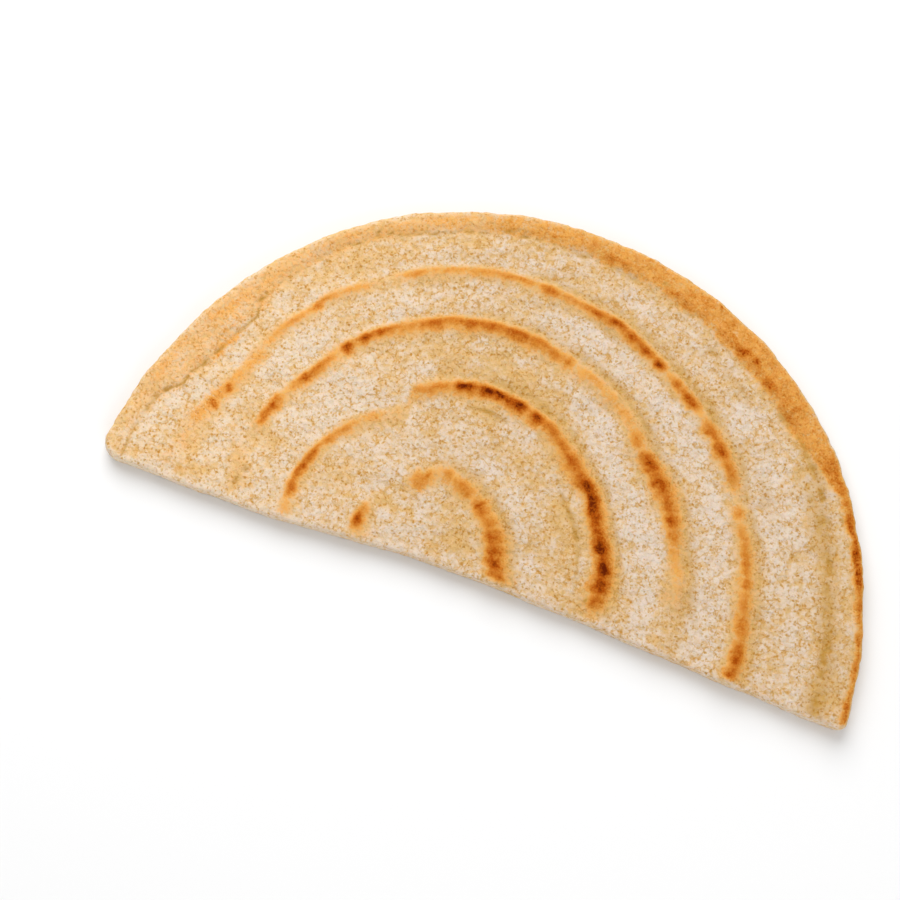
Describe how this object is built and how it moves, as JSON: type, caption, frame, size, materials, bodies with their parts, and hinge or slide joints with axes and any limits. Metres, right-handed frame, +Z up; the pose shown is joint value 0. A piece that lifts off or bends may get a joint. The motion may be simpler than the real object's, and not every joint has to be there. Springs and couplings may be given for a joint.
{
  "type": "cassava bread",
  "caption": "Half round of cassava flatbread, cut straight across, with concentric toasted ridges on a granular crust and a rolled rim.",
  "frame": {"origin": "centre of the footprint, on the surface the bread lies on", "axes": "+X along the cut edge, +Y from the cut edge towards the round rim, +Z up through the thickness"},
  "size_m": [0.2596, 0.1296, 0.0083],
  "materials": {
    "bread_crust": "matte, dry and grainy, cream to tan with toasted brown rings"
  },
  "bodies": {
    "root": {"bread_half": "bread_crust"}
  },
  "joints": []
}
